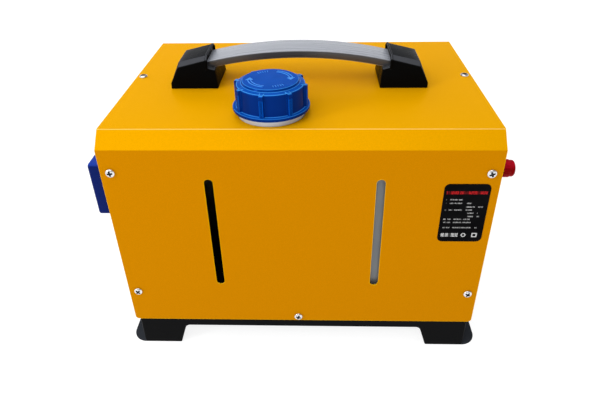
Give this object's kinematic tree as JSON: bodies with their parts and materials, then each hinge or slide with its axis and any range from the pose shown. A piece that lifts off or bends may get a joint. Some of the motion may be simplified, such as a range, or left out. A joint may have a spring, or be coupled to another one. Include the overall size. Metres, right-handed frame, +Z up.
{
  "type": "diesel air heater",
  "caption": "Portable diesel air heater in a folded sheet-metal case with fuel tank, screw cap, arched carrying handle, controller, screw terminals, hot-air stub and feet with bolt ears.",
  "frame": {"origin": "on the floor, at the centre of the four bolt holes in the feet", "axes": "+X along the case, from the controller and hot-air outlet to the terminals; +Y towards the back, where the pipes end; +Z up"},
  "size_m": [0.4336, 0.3151, 0.3194],
  "materials": {
    "cover_yellow": "powder coat, fine texture",
    "panel_black": "powder coat, fine texture",
    "base_black": "semi-gloss powder coat",
    "galvanised": "galvanised sheet",
    "screw_zinc": "bright zinc",
    "plate_black": "satin film",
    "handle_grey": "satin anodised",
    "handle_black": "moulded nylon",
    "tank_white": "translucent polyethylene",
    "cap_blue": "moulded polyethylene",
    "seal_rubber": "nitrile",
    "brass": "turned",
    "filter_clear": "clear nylon",
    "pump_black": "moulded over a steel coil",
    "plunger_steel": "ground",
    "hose_black": "fuel hose",
    "line_green": "nylon fuel line",
    "shell_black": "glass-filled nylon",
    "cast_aluminium": "as cast",
    "burner_steel": "heat-resistant steel",
    "motor_steel": "plated can",
    "fan_black": "moulded nylon",
    "gasket_grey": "graphite sheet",
    "exhaust_steel": "stainless tube",
    "intake_black": "moulded nylon",
    "controller_blue": "moulded",
    "face_black": "film",
    "lcd": "display window",
    "board_green": "circuit board",
    "button_rubber": "silicone",
    "terminal_red": "moulded",
    "terminal_black": "moulded",
    "lead_red": "insulated lead",
    "lead_grey": "insulated lead"
  },
  "bodies": {
    "root": {"wrap_cover": "cover_yellow", "left_end_panel": "panel_black", "right_end_panel": "panel_black", "base_tray": "base_black", "divider_panel": "galvanised", "cover_screws": "screw_zinc", "fixing_nuts": "screw_zinc", "rating_plate": "plate_black", "handle_bar": "handle_grey", "handle_end_left": "handle_black", "handle_end_right": "handle_black", "handle_bolts": "screw_zinc", "fuel_tank": "tank_white", "filler_neck": "tank_white", "tank_strap": "galvanised", "tank_outlet_fitting": "brass", "fuel_filter": "filter_clear", "fuel_pump": "pump_black", "pump_clamp": "seal_rubber", "tank_fuel_line": "hose_black", "pump_inlet_line": "hose_black", "heater_fuel_line": "line_green", "heater_lower_shell": "shell_black", "heater_upper_shell": "shell_black", "outlet_hood": "shell_black", "inlet_hood": "shell_black", "inlet_guard": "shell_black", "heat_exchanger": "cast_aluminium", "combustion_chamber": "burner_steel", "glow_plug": "burner_steel", "blower_housing": "cast_aluminium", "blower_motor": "motor_steel", "control_unit": "shell_black", "overheat_sensor": "burner_steel", "mount_gasket": "gasket_grey", "exhaust_elbow": "exhaust_steel", "air_intake_elbow": "intake_black", "controller_frame": "controller_blue", "controller_face": "face_black", "lcd_window": "lcd", "controller_board": "board_green", "terminal_posts": "brass", "positive_insulator": "terminal_red", "negative_insulator": "terminal_black", "power_leads": "lead_red", "signal_leads": "lead_grey"},
    "cap_seal": {"cap_seal": "seal_rubber"},
    "fuel_cap": {"fuel_cap": "cap_blue"},
    "positive_washer": {"positive_washer": "screw_zinc"},
    "positive_cap": {"positive_cap": "terminal_red"},
    "negative_washer": {"negative_washer": "screw_zinc"},
    "negative_cap": {"negative_cap": "terminal_black"},
    "rotor": {"motor_shaft": "plunger_steel", "air_fan": "fan_black", "combustion_wheel": "cast_aluminium"},
    "plunger": {"pump_plunger": "plunger_steel"},
    "up_button": {"up_button": "button_rubber"},
    "down_button": {"down_button": "button_rubber"},
    "set_button": {"set_button": "button_rubber"},
    "power_button": {"power_button": "button_rubber"}
  },
  "joints": [
    {"name": "cap_rise", "type": "slide", "parent": "root", "child": "cap_seal", "axis": [0, 0, 1], "range_m": [0, 0.015]},
    {"name": "cap_turn", "type": "hinge", "parent": "cap_seal", "child": "fuel_cap", "pos_m": [-0.0285, -0.0933, 0.3], "axis": [0, 0, 1], "range_deg": [0, 1085]},
    {"name": "positive_cap_travel", "type": "slide", "parent": "root", "child": "positive_washer", "axis": [1, 0, 0], "range_m": [0, 0.005]},
    {"name": "positive_cap_turn", "type": "hinge", "parent": "positive_washer", "child": "positive_cap", "pos_m": [0.2, -0.123, 0.2317], "axis": [1, 0, 0], "range_deg": [0, 1805]},
    {"name": "negative_cap_travel", "type": "slide", "parent": "root", "child": "negative_washer", "axis": [1, 0, 0], "range_m": [0, 0.005]},
    {"name": "negative_cap_turn", "type": "hinge", "parent": "negative_washer", "child": "negative_cap", "pos_m": [0.2, -0.088, 0.2317], "axis": [1, 0, 0], "range_deg": [0, 1805]},
    {"name": "rotor_spin", "type": "hinge", "parent": "root", "child": "rotor", "pos_m": [0.1, 0.055, 0.115], "axis": [1, 0, 0], "continuous": true},
    {"name": "plunger_stroke", "type": "slide", "parent": "root", "child": "plunger", "axis": [0, 0, 1], "range_m": [0, 0.003], "stiffness_N_per_m": 500, "springref_m": -0.002},
    {"name": "up_button_press", "type": "slide", "parent": "root", "child": "up_button", "axis": [1, 0, 0], "range_m": [0, 0.0008], "stiffness_N_per_m": 600, "springref_m": -0.0005},
    {"name": "down_button_press", "type": "slide", "parent": "root", "child": "down_button", "axis": [1, 0, 0], "range_m": [0, 0.0008], "stiffness_N_per_m": 600, "springref_m": -0.0005},
    {"name": "set_button_press", "type": "slide", "parent": "root", "child": "set_button", "axis": [1, 0, 0], "range_m": [0, 0.0008], "stiffness_N_per_m": 600, "springref_m": -0.0005},
    {"name": "power_button_press", "type": "slide", "parent": "root", "child": "power_button", "axis": [1, 0, 0], "range_m": [0, 0.0008], "stiffness_N_per_m": 600, "springref_m": -0.0005}
  ],
  "couplings": [
    {"joint": "cap_turn", "follows": "cap_rise", "rad_per_m": 1256.6},
    {"joint": "positive_cap_turn", "follows": "positive_cap_travel", "rad_per_m": 6283.2},
    {"joint": "negative_cap_turn", "follows": "negative_cap_travel", "rad_per_m": 6283.2}
  ]
}
